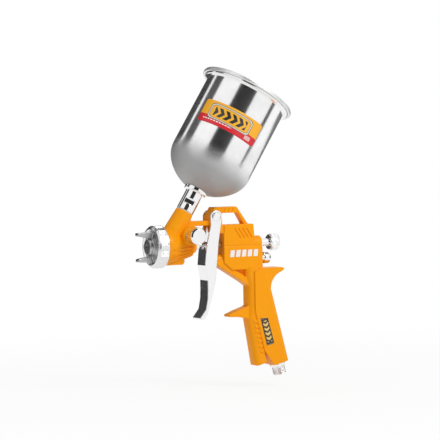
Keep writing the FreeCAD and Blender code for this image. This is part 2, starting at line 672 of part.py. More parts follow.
# ------------------------------------------------------------------ fluid needle and its control
needle_front = d.cap_boss_face - 0.3
needle_back = 60.0
fluid_needle = Piece("fluid_needle", SPRAY)
fluid_needle.revolve([(0, needle_front), (0.45, needle_front), (d.needle_radius, -53.5),
                      (d.needle_radius, needle_back - 0.5), (d.needle_radius - 0.5, needle_back),
                      (0, needle_back)])
needle_collar = Piece("needle_collar", SPRAY)
needle_collar.revolve(sleeve(d.needle_radius, d.needle_radius + 1.0, 3.6, 8.7))
spring_seat_front = 29.0
needle_spring_seat = Piece("needle_spring_seat", SPRAY)
seat_radius = d.spring_bore - 0.4
seat_hub = d.needle_radius + 0.8
needle_spring_seat.revolve([(d.needle_radius, spring_seat_front), (seat_radius, spring_seat_front),
                            (seat_radius, spring_seat_front + 1.6), (seat_hub, spring_seat_front + 2.2),
                            (seat_hub, spring_seat_front + 4.5),
                            (d.needle_radius, spring_seat_front + 4.5)])
needle_packing = Piece("needle_packing", SPRAY)
needle_packing.revolve(sleeve(d.needle_radius + gap, d.packing_radius, -18.5, -13.0, 0.2))
packing_nut = Piece("packing_nut", SPRAY)
nut_radius = d.packing_radius + 1.2
packing_nut.revolve([(d.needle_radius + gap, -13.0), (d.packing_radius, -13.0),
                     (d.packing_radius, d.cone_end),
                     (nut_radius - 0.3, d.cone_end), (nut_radius, d.cone_end + 0.4), (nut_radius, -5.4),
                     (nut_radius - 0.4, -5.0), (d.needle_radius + gap, -5.0)])
packing_nut.extrude(1.4, [[(-6, -0.5), (6, -0.5), (6, 0.5), (-6, 0.5)]], cut=True,
                               plane="XY_Plane", lift=-5.0)
needle_front_bush = Piece("needle_front_bush", SPRAY)
front_bush = d.needle_radius + BUSH_WALL
needle_front_bush.revolve([(d.needle_radius + gap, d.box_front - 1.5),
                           (front_bush + 0.6, d.box_front - 1.5),
                           (front_bush + 0.6, d.box_front), (front_bush, d.box_front), (front_bush, 26.6),
                           (d.needle_radius + gap, 26.6)])
bush_bore = d.plunger_bore
needle_guide_bush = Piece("needle_guide_bush", SPRAY)
needle_guide_bush.revolve([
    (bush_bore, 53.5), (d.spring_bore, 53.5), (d.spring_bore, d.box_back),
    (d.spring_bore + 0.6, d.box_back), (d.spring_bore + 0.6, d.box_back + 1.6),
    (d.bush_radius, d.box_back + 2.0), (d.bush_radius, d.fluid_knob_front - 0.9),
    (d.bush_radius - 0.4, d.fluid_knob_front - 0.5), (bush_bore, d.fluid_knob_front - 0.5),
])
knob_back = d.fluid_knob_front + d.fluid_knob_length
fluid_knob = Piece("fluid_knob", SPRAY)
fluid_knob.revolve([
    (0, d.fluid_knob_front), (d.knob_radius - 0.8, d.fluid_knob_front),
    (d.knob_radius, d.fluid_knob_front + 0.8),
    (d.knob_radius, knob_back - 1.2), (d.knob_radius - 1.2, knob_back), (0, knob_back),
])
flute = fluid_knob.extrude(d.fluid_knob_length - 3.8, circles=[(d.knob_radius + 0.35, 0, 0.75)], cut=True,
                           plane="XY_Plane", lift=knob_back - 1.8)
fluid_knob.repeat_around([flute], 24)
fluid_knob.extrude(3.0, circles=[(0, 0, 2.0)], cut=True, plane="XY_Plane", lift=d.fluid_knob_front + 3.0)
fluid_knob_plunger = Piece("fluid_knob_plunger", SPRAY)
fluid_knob_plunger.revolve([
    (d.needle_radius + 0.3, 53.8), (bush_bore - gap, 53.8), (bush_bore - gap, d.fluid_knob_front),
    (2.0, d.fluid_knob_front), (2.0, d.fluid_knob_front + 3.0), (0, d.fluid_knob_front + 3.0), (0, 68),
    (d.needle_radius + 0.3, 67),
])

# ------------------------------------------------------------------ air valve
air_valve_packing = Piece("air_valve_packing", VALVE)
air_valve_packing.revolve(sleeve(d.valve_stem_radius + gap, d.gland_radius, 13.0, 15.5, 0.2))
air_valve_gland = Piece("air_valve_gland", VALVE)
air_valve_gland.revolve([(d.valve_stem_radius + gap, 9.6), (d.gland_radius - 0.3, 9.6),
                         (d.gland_radius, 9.9),
                         (d.gland_radius, 13.0), (d.valve_stem_radius + gap, 13.0)])
air_valve_seat = Piece("air_valve_seat", VALVE)
seat_bore = d.valve_stem_radius + 0.9
air_valve_seat.revolve([(seat_bore, 20.5), (d.valve_bore, 20.5), (d.valve_bore, 23.0),
                        (seat_bore + 0.6, 23.0),
                        (seat_bore, 22.4)])
valve_stem = Piece("valve_stem", VALVE)
valve_stem.revolve([(0, 1.6), (d.valve_stem_radius - 0.4, 1.6), (d.valve_stem_radius, 2.0),
                    (d.valve_stem_radius, 30.5), (0, 30.5)])
valve_poppet = Piece("valve_poppet", VALVE)
poppet_radius = d.valve_bore - 0.6
poppet_hub = d.valve_stem_radius + 0.8
valve_poppet.revolve([(d.valve_stem_radius, 24.3), (poppet_radius, 24.3), (poppet_radius, 26.5),
                      (poppet_hub, 27.5), (poppet_hub, 30.5), (d.valve_stem_radius, 30.5)])
valve_poppet_seal = Piece("valve_poppet_seal", VALVE)
valve_poppet_seal.revolve([(d.valve_stem_radius, 23.1), (poppet_radius - 0.2, 23.1),
                           (poppet_radius - 0.2, 24.3),
                           (d.valve_stem_radius, 24.3)])
air_valve_cap = Piece("air_valve_cap", VALVE)
air_valve_cap.revolve([
    (3.6, 53), (d.valve_bore, 53), (d.valve_bore, d.box_back), (d.valve_bore + 0.4, d.box_back),
    (d.valve_bore + 0.4, d.box_back + 0.8), (3.9, d.box_back + 1.4),
    (3.9, d.box_back + 3.4), (5.2, d.box_back + 4.2), (5.6, d.box_back + 5.0), (5.6, d.box_back + 9.0),
    (4.3, d.box_back + 11.0, 16.0), (0, d.box_back + 11.6), (0, d.box_back + 2), (3.6, d.box_back),
])
air_valve_cap.extrude(1.4, [[(-0.6, -7), (0.6, -7), (0.6, 7), (-0.6, 7)]], cut=True,
                                 plane="XY_Plane", lift=d.box_back + 12)


def make_spring(name, seat, start, end, radius, wire, coils):
    """Compression spring: round wire swept along a helix."""
    spring = Piece(name, seat)
    sketch = spring.sketch("XZ_Plane", [], [(radius, start, wire)], 0, (0, 0), 0)
    feature = spring.feature("AdditiveHelix", sketch)
    feature.ReferenceAxis = (sketch, ["V_Axis"])
    feature.Mode = "height-turns-angle"
    feature.Height = end - start
    feature.Turns = coils
    spring.settle(False)
    return spring


make_spring("needle_spring", SPRAY, 31.7, 52.9, 3.6, 0.5, 9)
make_spring("air_valve_spring", VALVE, 27.6, 52.4, 3.45, 0.45, 9)

# ------------------------------------------------------------------ fan control
fan_valve_body = Piece("fan_valve_body", FAN)
spindle_bore = d.spindle_radius + gap
fan_flange = d.fan_thread + 2.2
fan_valve_body.revolve([(spindle_bore, 1.6), (d.fan_thread, 1.6), (d.fan_thread, d.fan_boss_reach),
                        (fan_flange - 0.5, d.fan_boss_reach), (fan_flange, d.fan_boss_reach + 0.5),
                        (fan_flange, d.fan_boss_reach + 2.0), (4.6, d.fan_boss_reach + 2.0),
                        (4.6, d.fan_boss_reach + 2.6), (spindle_bore, d.fan_boss_reach + 2.6)])
fan_knob_back = d.fan_boss_reach + 2.9
fan_spindle = Piece("fan_spindle", FAN)
fan_spindle.revolve([(0, 0.4), (1.0, 0.4), (d.spindle_radius, 3.0), (d.spindle_radius, fan_knob_back + 7.0),
                     (0, fan_knob_back + 7.0)])
fan_knob = Piece("fan_knob", FAN)
fan_knob_face = fan_knob_back + d.fan_knob_length
fan_knob.revolve([
    (0, fan_knob_back), (d.knob_radius - 0.6, fan_knob_back), (d.knob_radius, fan_knob_back + 0.6),
    (d.knob_radius, fan_knob_face - 1.4), (d.knob_radius - 1.4, fan_knob_face), (0, fan_knob_face),
])
fan_flute = fan_knob.extrude(d.fan_knob_length - 3.4, circles=[(d.knob_radius + 0.35, 0, 0.75)], cut=True,
                             plane="XY_Plane", lift=fan_knob_face - 2.2)
fan_knob.repeat_around([fan_flute], 24)
fan_knob.extrude(7.0, circles=[(0, 0, d.spindle_radius)], cut=True, plane="XY_Plane",
                 lift=fan_knob_back + 7.0)

# ------------------------------------------------------------------ trigger
trigger_pin = Piece("trigger_pin", PIVOT)
pin_outer = d.trigger_half_width + 0.15
pin_head = d.pin_radius + 1.9
trigger_pin.revolve([(0, -pin_outer - 1.4), (d.pin_radius - 0.5, -pin_outer - 1.4),
                     (d.pin_radius - 0.5, -pin_outer - 0.9), (d.pin_radius, -pin_outer - 0.6),
                     (d.pin_radius, pin_outer), (pin_head, pin_outer), (pin_head, pin_outer + 0.9),
                     (pin_head - 1.0, pin_outer + 1.6), (0, pin_outer + 1.6)])
trigger_pin_clip = Piece("trigger_pin_clip", PIVOT)
trigger_pin_clip.revolve([(d.pin_radius, -pin_outer - 0.6), (pin_head - 0.2, -pin_outer - 0.6),
                          (pin_head - 0.2, -pin_outer), (d.pin_radius, -pin_outer)])


def make_trigger():
    trigger = Piece("trigger", GUN)
    eye = d.trigger_eye
    sheet_out = d.trigger_half_width * 2
    front = [(5.1, 19.5), (1.3, 4.0), (-0.8, -8.0), (-2.0, -19.5)]
    lower = [(-0.6, -26.5), (0.5, -34.0), (0.5, -44.0), (0.1, -52.0), (-1.9, -62.0), (-8.4, -70.2)]
    side = [(d.pivot_x - eye, d.pivot_z)] + front + lower + [
        (-7.6, -71.8), (-4.4, -71.9), (-0.6, -67.4), (4.2, -52.7), (9.4, -34.4), (10.7, -19.5),
        (12.2, -8.0), (13.1, 1.8), (16.2, 19.2), (d.pivot_x + eye, d.pivot_z, eye * 1.0001),
    ]
    trigger.extrude(sheet_out, [side], both=True)
    inner = [(-30, 60), (-30, 3.0), (front[0][0] - 3.9 + d.web_sheet, 3.0)]
    inner = inner + [(x + d.web_sheet, z) for x, z in front[2:] + lower[:5]]
    inner = inner + [(-1.4 + d.web_sheet, -65.5), (20, -65.5), (30, 60)]
    trigger.extrude((d.trigger_half_width - d.trigger_sheet) * 2, [inner], cut=True, both=True)
    trigger.extrude(30, circles=[(d.pivot_x, d.pivot_z, d.pin_radius + gap)], cut=True, both=True)
    needle_way = [(-10, -4.2), (6, -4.2), (6, 10), (-10, 10)]
    trigger.extrude((d.needle_radius + 0.5) * 2, [needle_way], cut=True, both=True)
    return trigger


make_trigger()

# ------------------------------------------------------------------ paint cup
cup_bottom = d.stem_length + 1.6
dome_centre = cup_bottom + d.dome_radius
rim = cup_bottom + d.cup_length
wall = d.cup_wall


def dome_height(radius, thickness=0):
    """Station of the dome at a radius; a thickness moves it to the inner side."""
    reach = d.dome_radius - thickness
    return dome_centre - root(reach * reach - radius * radius)


cup_seal = Piece("cup_socket_seal", CUP)
cup_seal.revolve([(d.stem_thread + gap, 0), (d.stem_radius - 0.45, 0), (d.stem_radius - 0.45, 0.8),
                  (d.stem_thread + gap, 0.8)])
flange_radius = d.stem_radius + 2.75
spigot_hole = d.stem_radius - 1.45
cup_stem = Piece("cup_stem", CUP)
cup_stem.revolve([
    (d.stem_bore, -12.0), (d.stem_thread - 0.6, -12.0), (d.stem_thread, -11.4), (d.stem_thread, 0.9),
    (d.stem_radius, 0.9), (d.stem_radius, d.stem_length - 1.2), (flange_radius - 0.6, d.stem_length - 0.4),
    (flange_radius, d.stem_length), (flange_radius, dome_height(flange_radius), -d.dome_radius),
    (spigot_hole, dome_height(spigot_hole)), (spigot_hole, dome_height(spigot_hole) + 4.0),
    (d.stem_bore, dome_height(spigot_hole) + 4.0),
])
flat = [(-12, 8.3), (12, 8.3), (12, 12.3), (-12, 12.3)]
flats = cup_stem.extrude(3, [flat], cut=True, lift=d.stem_radius - 1.0, back=True)
cup_stem.mirror([flats])

cup_shell = Piece("cup_shell", CUP)
inner_corner = d.cup_radius - wall
cup_shell.revolve([
    (spigot_hole, dome_height(spigot_hole), d.dome_radius), (d.cup_radius, dome_height(d.cup_radius)),
    (d.cup_radius, rim - 3.6), (d.bead_radius, rim - 2.8), (d.bead_radius, rim - 0.6),
    (d.bead_radius - 0.6, rim),
    (inner_corner, rim), (inner_corner, dome_height(inner_corner, wall), -(d.dome_radius - wall)),
    (spigot_hole, dome_height(spigot_hole, wall)),
])
nut_face = dome_height(spigot_hole, wall) + 0.9
cup_nut = Piece("cup_retaining_nut", CUP)
cup_nut_radius = spigot_hole + 3.8
cup_nut.revolve([(spigot_hole, nut_face - 0.5), (spigot_hole + 1.2, nut_face - 0.3),
                 (cup_nut_radius, nut_face),
                 (cup_nut_radius, nut_face + 1.9), (cup_nut_radius - 0.6, nut_face + 2.4),
                 (spigot_hole, nut_face + 2.4)])
cup_filter = Piece("cup_filter", CUP)
filter_foot = dome_height(spigot_hole) + 4.0
cup_filter.revolve([(2.6, filter_foot - 14), (d.stem_bore - 0.1, filter_foot - 14),
                    (d.stem_bore - 0.1, filter_foot),
                    (5.6, filter_foot), (5.6, filter_foot + 1.4), (4.6, filter_foot + 1.4),
                    (3.6, filter_foot + 20),
                    (0, filter_foot + 20), (0, filter_foot + 19.2), (2.6, filter_foot + 19.2)])

cup_label = Piece("cup_label", CUP)
LABEL_FACES = 243.8
cup_label.revolve([(d.cup_radius, rim - d.label_drop - d.label_height),
                   (d.cup_radius + 0.15, rim - d.label_drop - d.label_height),
                   (d.cup_radius + 0.15, rim - d.label_drop), (d.cup_radius, rim - d.label_drop)],
                  angle=d.label_wrap)
label_turn = Rotation(Vector(0, 1, 0), d.cup_tilt.value) * Rotation(Vector(0, 0, 1), LABEL_FACES)
cup_label.body.setExpression("Placement.Rotation.Angle", None)
cup_label.body.Placement = Placement(cup_label.body.Placement.Base, label_turn)

# ------------------------------------------------------------------ lid
lid_gasket = Piece("lid_gasket", CUP)
lid_gasket.revolve([(inner_corner + 0.5, rim + gap), (d.bead_radius, rim + gap), (d.bead_radius, rim + 0.8),
                   (inner_corner + 0.5, rim + 0.8)])
lid_under = rim + 0.8
cup_lid = Piece("cup_lid", CUP)
cup_lid.revolve([
    (4.0, lid_under), (d.bead_radius + clear, lid_under), (d.bead_radius + clear, rim - 1.6),
    (d.lid_radius, rim - 1.6), (d.lid_radius, rim + 0.9), (d.lid_radius - 1.2, rim + 2.1),
    (d.lid_radius - 4.5, rim + 2.1), (d.lid_radius - 5.5, rim + 1.6), (4.0, rim + 1.6),
])
lid_vent = Piece("lid_vent", CUP)
lid_vent.revolve([(0.8, rim - 2.0), (4.0, rim - 2.0), (4.0, rim + 1.6), (6.4, rim + 1.6), (7.0, rim + 2.2),
                  (7.0, rim + 5.4), (6.2, rim + 6.4), (0.8, rim + 6.4)])

# ------------------------------------------------------------------ badge and side marks
handle_badge = Piece("handle_badge", GUN)
handle_badge.extrude(0.4, [[(56.0, -73.4), (64.0, -73.4), (70.6, -98.4), (62.6, -100.4)]],
                     lift=d.grip_half_width)
side_marks = Piece("side_marks", GUN)
for number in range(5):
    left = 25.5 + number * 6.4
    mark = [(left, -12.6), (left + 4.4, -12.6), (left + 5.4, -6.0), (left + 1.0, -6.0)]
    side_marks.extrude(0.25, [mark], lift=d.half_width)


# ------------------------------------------------------------------ checks and files
def check_document():
    doc.recompute()
    for item in doc.Objects:
        if any(word in item.State for word in ("Invalid", "Error")):
            raise RuntimeError(f"{item.Label} failed: {item.State}")
    for piece in pieces:
        shape = piece.body.Shape
        if shape.isNull() or not shape.isValid() or not shape.Solids:
            raise RuntimeError(f"{piece.name} has no valid solid")


check_document()
os.makedirs("parts", exist_ok=True)
for piece in pieces:
    piece.body.Shape.exportStep(f"parts/{piece.name}.step")
    box = piece.body.Shape.BoundBox
    print(f"{piece.name}: {len(piece.body.Shape.Solids)} solids, {piece.body.Shape.Volume:.1f} mm3, "
          f"x {box.XMin:.1f}..{box.XMax:.1f} y {box.YMin:.1f}..{box.YMax:.1f} z {box.ZMin:.1f}..{box.ZMax:.1f}")
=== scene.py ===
import json
import math

import bmesh
import bpy
from mathutils import Matrix, Vector


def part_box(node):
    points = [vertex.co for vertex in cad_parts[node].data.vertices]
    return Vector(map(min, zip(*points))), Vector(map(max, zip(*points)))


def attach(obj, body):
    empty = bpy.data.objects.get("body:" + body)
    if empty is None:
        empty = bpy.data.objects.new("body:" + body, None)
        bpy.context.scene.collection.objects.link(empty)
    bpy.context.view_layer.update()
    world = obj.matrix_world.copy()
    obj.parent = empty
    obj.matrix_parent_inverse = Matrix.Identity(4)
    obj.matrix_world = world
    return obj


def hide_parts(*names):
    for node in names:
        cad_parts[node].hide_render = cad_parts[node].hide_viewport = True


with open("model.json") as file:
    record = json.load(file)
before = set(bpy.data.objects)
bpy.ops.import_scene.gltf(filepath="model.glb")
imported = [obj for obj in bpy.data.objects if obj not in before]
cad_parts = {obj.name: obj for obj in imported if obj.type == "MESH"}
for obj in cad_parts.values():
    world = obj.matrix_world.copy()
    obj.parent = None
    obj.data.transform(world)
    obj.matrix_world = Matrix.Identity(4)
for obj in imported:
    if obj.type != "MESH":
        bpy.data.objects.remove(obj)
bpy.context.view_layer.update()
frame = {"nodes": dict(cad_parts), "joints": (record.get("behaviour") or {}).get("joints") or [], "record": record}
nodes = frame["nodes"]
MM = 0.001


# ------------------------------------------------------------------ shader values
class Value:
    """A node socket that can be used in ordinary arithmetic."""

    def __init__(self, maker, socket):
        self.maker = maker
        self.socket = socket

    def math(self, operation, *values):
        inputs = {number: value for number, value in enumerate(values)}
        return self.maker.node("ShaderNodeMath", {"operation": operation}, inputs)

    def __add__(self, other):
        return self.math("ADD", self, other)

    def __radd__(self, other):
        return self.math("ADD", other, self)

    def __sub__(self, other):
        return self.math("SUBTRACT", self, other)

    def __rsub__(self, other):
        return self.math("SUBTRACT", other, self)

    def __mul__(self, other):
        return self.math("MULTIPLY", self, other)

    def __rmul__(self, other):
        return self.math("MULTIPLY", other, self)

    def __truediv__(self, other):
        return self.math("DIVIDE", self, other)

    def __gt__(self, other):
        return self.math("GREATER_THAN", self, other)

    def __lt__(self, other):
        return self.math("LESS_THAN", self, other)

    def absolute(self):
        return self.math("ABSOLUTE", self)

    def fraction(self):
        return self.math("FRACT", self)

    def maximum(self, other):
        return self.math("MAXIMUM", self, other)

    def minimum(self, other):
        return self.math("MINIMUM", self, other)

    def beside(self, name):
        """Another output of the same node."""
        return Value(self.maker, self.socket.node.outputs[name])


class Nodes:
    """A node tree. Its node method adds a node and returns one of the node's outputs."""

    def __init__(self, tree):
        self.tree = tree

    def node(self, kind, settings=None, inputs=None, output=0):
        node = self.tree.nodes.new(kind)
        for name, setting in (settings or {}).items():
            if name == "stops":
                set_ramp(node.color_ramp, setting)
            else:
                setattr(node, name, setting)
        for name, value in (inputs or {}).items():
            self.feed(node.inputs[name], value)
        return Value(self, node.outputs[output])

    def feed(self, socket, value):
        if isinstance(value, Value):
            self.tree.links.new(value.socket, socket)
        else:
            socket.default_value = value


class Finish(Nodes):
    """One material, with the sockets of its Principled shader."""

    def __init__(self, name):
        self.material = bpy.data.materials.new(name)
        self.material.use_nodes = True
        super().__init__(self.material.node_tree)
        self.shader = self.tree.nodes["Principled BSDF"]

    def set(self, **sockets):
        for name, value in sockets.items():
            self.feed(self.shader.inputs[name.replace("_", " ")], value)
        return self

    def place(self, scale=1.0, stretch=(1, 1, 1), turn=(0, 0, 0)):
        """Object position in millimetres, turned and then stretched."""
        here = self.node("ShaderNodeTexCoord", output="Object")
        size = 1000.0 * scale
        return self.node("ShaderNodeMapping", None, {
            "Vector": here, "Rotation": turn, "Scale": tuple(size * part for part in stretch)})

    def noise(self, scale=1.0, detail=2.0, stretch=(1, 1, 1), turn=(0, 0, 0)):
        return self.node("ShaderNodeTexNoise", None, {
            "Vector": self.place(scale, stretch, turn), "Scale": 1.0, "Detail": detail})

    def mix(self, factor, first, second):
        """Blend of two colours; the Mix node's colour sockets are 6 and 7, and its colour output 2."""
        return self.node("ShaderNodeMix", {"data_type": "RGBA"}, {0: factor, 6: first, 7: second}, 2)

    def bump(self, height, strength=0.3, distance=0.0001):
        normal = self.node("ShaderNodeBump", None, {
            "Height": height, "Strength": strength, "Distance": distance})
        return self.set(Normal=normal)


def set_ramp(ramp, stops):
    while len(ramp.elements) < len(stops):
        ramp.elements.new(0.5)
    for element, (position, colour) in zip(ramp.elements, stops):
        element.position = position
        element.color = colour


def grey(level):
    return (level, level, level, 1.0)


# ------------------------------------------------------------------ finishes
def body_paint():
    """Glossy orange enamel over die-cast metal, with faint orange peel."""
    finish = Finish("body_paint")
    patches = finish.noise(0.05, 3)
    colour = finish.mix(patches, (1.0, 0.345, 0.0005, 1), (1.0, 0.385, 0.001, 1))
    peel = finish.noise(0.9, 2)
    wear = finish.noise(0.25, 4)
    finish.set(Base_Color=colour, Roughness=0.30 + wear * 0.16, Coat_Weight=0.09)
    finish.set(Specular_IOR_Level=0.13, Coat_Roughness=0.10)
    return finish.bump(peel, 0.22, 0.00006).material


def plated(name, tone, roughness, grain):
    """Bright plating with hairline scratches along the grain direction."""
    finish = Finish(name)
    hairs = finish.noise(1.0, 3, grain)
    haze = finish.noise(0.12, 3)
    colour = finish.mix(haze, grey(tone * 0.93), grey(tone))
    finish.set(Base_Color=colour, Metallic=1.0, Roughness=roughness + hairs * 0.05 + haze * 0.04)
    return finish.bump(hairs, 0.06, 0.00002).material


# Stations along the cup where the painted shade and the rougher, less metallic finish towards the bottom begin and
# become full.
SHADE_SATIN_FROM = 0.066
SHADE_SATIN_FULL = 0.040


def cup_steel(turn):
    """Polished stainless sheet: fine lines round the cup, soft smears, and a rougher, less metallic domed bottom
    whose colour is darkened towards the bottom as painted shade.
    """
    finish = Finish("cup_steel")
    lines = finish.noise(1.0, 3, (0.02, 0.02, 2.4), turn)
    smears = finish.noise(0.035, 5, (1, 1, 1), turn)
    spots = finish.noise(0.35, 4)
    tone = finish.node("ShaderNodeValToRGB", {"stops": [(0.32, grey(0.80)), (0.62, grey(0.96))]},
                       {"Fac": smears})
    colour = finish.mix(spots * 0.25, tone, grey(0.80))
    here = finish.node("ShaderNodeTexCoord", output="Object")
    along = finish.node("ShaderNodeVectorMath", {"operation": "DOT_PRODUCT"}, {
        0: here, 1: tuple(CUP_AXIS)}, output="Value")
    station = along - Vector(joint("cup_unscrew")["pos_m"]).dot(CUP_AXIS)
    # Painted shade: towards the domed bottom, which faces down onto the gun, the colour turns dark grey; roughness
    # rises and metallic falls there as well.
    satin_and_painted_shade = finish.node("ShaderNodeMapRange", {"interpolation_type": "SMOOTHSTEP"}, {
        "Value": station, "From Min": SHADE_SATIN_FROM, "From Max": SHADE_SATIN_FULL, "To Min": 0.0, "To Max": 1.0})
    # Painted shade: the colour is mixed towards dark grey near the bottom.
    colour = finish.mix(satin_and_painted_shade, colour, finish.mix(smears, grey(0.36), grey(0.56)))
    rough = 0.09 + lines * 0.06 + smears * 0.05
    finish.set(Base_Color=colour, Metallic=1.0 - satin_and_painted_shade * 0.45, Roughness=rough + satin_and_painted_shade * 0.42)
    return finish.bump(lines, 0.08, 0.00002).material


def cast_aluminium():
    finish = Finish("polished_aluminium")
    rings = finish.noise(0.8, 3)
    colour = finish.mix(rings, grey(0.80), grey(0.90))
    finish.set(Base_Color=colour, Metallic=1.0, Roughness=0.36 + rings * 0.10)
    return finish.bump(rings, 0.08, 0.00003).material


def turned_brass():
    finish = Finish("turned_brass")
    tarnish = finish.noise(0.3, 4)
    colour = finish.mix(tarnish, (0.62, 0.42, 0.14, 1), (0.80, 0.60, 0.26, 1))
    finish.set(Base_Color=colour, Metallic=1.0, Roughness=0.22 + tarnish * 0.15)
    return finish.material


def moulded(name, dark, light, roughness):
    finish = Finish(name)
    grain = finish.noise(1.2, 3)
    colour = finish.mix(grain, dark, light)
    finish.set(Base_Color=colour, Roughness=roughness + grain * 0.12)
    return finish.bump(grain, 0.15, 0.00004).material


def stripe(value, low, high):
    """1 where the value lies between low and high."""
    return (value > low) * (value < high)


RED_BAND = 8.2
BADGE_CENTRE = (-1.0, 13.2)
BADGE_STEPS = (  # half width, half height, reach of the cut corners, colour
    (23.0, 8.0, 20.4, grey(0.08)), (22.4, 7.5, 19.5, (0.80, 0.76, 0.66, 1)),
    (21.4, 6.7, 18.0, grey(0.10)), (20.9, 6.3, 17.3, (0.95, 0.47, 0.02, 1)))
CHEVRON_PITCH = 6.9


def printed_label():
    """Yellow film with a red lower band, thin pale rules and a framed row of dark chevrons."""
    finish = Finish("printed_label")
    sheet = finish.node("ShaderNodeUVMap", {"uv_map": "sheet"})
    across = finish.node("ShaderNodeSeparateXYZ", None, {0: sheet})
    up = across.beside("Y")
    grain = finish.noise(0.6, 3)
    yellow = finish.mix(grain, (0.96, 0.42, 0.008, 1), (1.0, 0.48, 0.014, 1))
    red = finish.mix(grain, (0.66, 0.008, 0.020, 1), (0.76, 0.015, 0.030, 1))
    colour = finish.mix(up < RED_BAND, yellow, red)
    rules = stripe(up, 3.6, 4.7) * stripe(across, -27, 4) * stripe((across / 3.1).fraction(), 0.12, 0.78)
    small_mark = stripe(up, 2.0, 6.2) * stripe(across, 19.5, 26.5)
    small_mark = small_mark * stripe((across / 1.75).fraction(), 0.2, 0.7)
    colour = finish.mix(rules.maximum(small_mark), colour, (0.92, 0.90, 0.86, 1))
    dx = (across - BADGE_CENTRE[0]).absolute()
    dy = (up - BADGE_CENTRE[1]).absolute()
    cut = dx * 0.62 + dy
    for reach, height, corner, tone in BADGE_STEPS:
        shape = (dx < reach) * (dy < height) * (cut < corner)
        colour = finish.mix(shape, colour, tone)
    lean = (across + dy * 0.8 + 60) / CHEVRON_PITCH
    chevrons = stripe(lean.fraction(), 0.10, 0.68) * stripe(dy, -1, 4.6) * stripe(dx, -1, 17.4)
    colour = finish.mix(chevrons, colour, grey(0.03))
    finish.set(Base_Color=colour, Roughness=0.30 + grain * 0.08, Coat_Weight=0.2)
    return finish.bump(grain, 0.05, 0.00002).material


def badge_plate():
    """Dark plate with worn gold chevrons down it."""
    finish = Finish("badge_plate")
    sheet = finish.node("ShaderNodeUVMap", {"uv_map": "sheet"})
    across = finish.node("ShaderNodeSeparateXYZ", None, {0: sheet})
    down = across.beside("Y")
    grain = finish.noise(1.0, 4)
    edge = (across.absolute() > 3.9).maximum(down.absolute() > 12.4)
    beat = ((down + across.absolute() * 0.7 + 40) / 4.6).fraction()
    chevrons = stripe(beat, 0.15, 0.70) * (across.absolute() < 2.7) * (down.absolute() < 10.8)
    gold = finish.mix(grain, (0.75, 0.42, 0.06, 1), (0.92, 0.72, 0.30, 1))
    colour = finish.mix(chevrons, (0.045, 0.032, 0.022, 1), gold)
    colour = finish.mix(edge, colour, (0.16, 0.13, 0.11, 1))
    finish.set(Base_Color=colour, Roughness=0.34 + grain * 0.15)
    return finish.bump(chevrons, 0.35, 0.0001).material


# ------------------------------------------------------------------ seats, the pieces' own millimetre frames
def joint(name):
    return next(item for item in frame["joints"] if item["name"] == name)


def seat(origin, axis):
    """Matrix whose local +Z is the axis and whose units are millimetres."""
    turn = Vector((0, 0, 1)).rotation_difference(Vector(axis).normalized()).to_matrix().to_4x4()
    return Matrix.Translation(Vector(origin)) @ turn @ Matrix.Scale(MM, 4)


VIEW_AZIMUTH = -27.0
SPRAY_HEIGHT = joint("ring_turn")["pos_m"][2]
RING_FRONT = -56.0
RING_MIDDLE = -50.0
spray_origin = (joint("ring_turn")["pos_m"][0] - RING_MIDDLE * MM, 0, SPRAY_HEIGHT)
SPRAY = seat(spray_origin, (1, 0, 0))
CUP_AXIS = Vector(joint("cup_unscrew")["axis"])
CUP = seat(joint("cup_unscrew")["pos_m"], CUP_AXIS)
fan = joint("fan_knob_turn")
FAN = seat((fan["pos_m"][0], 0, fan["pos_m"][2]), (0, -1, 0))
inlet_axis = next(m for m in frame["record"]["mounts"] if m["name"] == "air_inlet")["axis"]
INLET = seat((0, 0, 0), [-part for part in inlet_axis])
pivot = joint("trigger_pull")
PIVOT = seat(pivot["pos_m"], (0, -1, 0))
VALVE_DROP = 15.0
VALVE = seat((spray_origin[0], 0, SPRAY_HEIGHT - VALVE_DROP * MM), (1, 0, 0))
GUN = Matrix.Translation(Vector(spray_origin)) @ Matrix.Scale(MM, 4)


# ------------------------------------------------------------------ mesh helpers
def add_mesh(name, mesh, material, smooth=True):
    piece = bpy.data.objects.new(name, mesh)
    bpy.context.scene.collection.objects.link(piece)
    mesh.materials.append(material)
    for face in mesh.polygons:
        face.use_smooth = smooth
    return piece


SHALLOW_TURN = 0.15
ARC_STEPS = 4


def soften(points, radius, closed):
    """Replace each corner of an outline by a small curve."""
    result = []
    last = len(points) - 1
    for number, point in enumerate(points):
        if not closed and number in (0, last):
            result.append(point)
            continue
        here = Vector(point)
        back = Vector(points[number - 1]) - here
        ahead = Vector(points[(number + 1) % len(points)]) - here
        turn = math.pi - back.angle(ahead)
        if turn < SHALLOW_TURN:
            result.append(point)
            continue
        reach = min(radius * math.tan(turn / 2), 0.45 * back.length, 0.45 * ahead.length)
        start = here + back.normalized() * reach
        end = here + ahead.normalized() * reach
        for step in range(ARC_STEPS + 1):
            t = step / ARC_STEPS
            spot = start * (1 - t) ** 2 + here * (2 * t * (1 - t)) + end * t ** 2
            result.append((spot.x, spot.y))
    return result


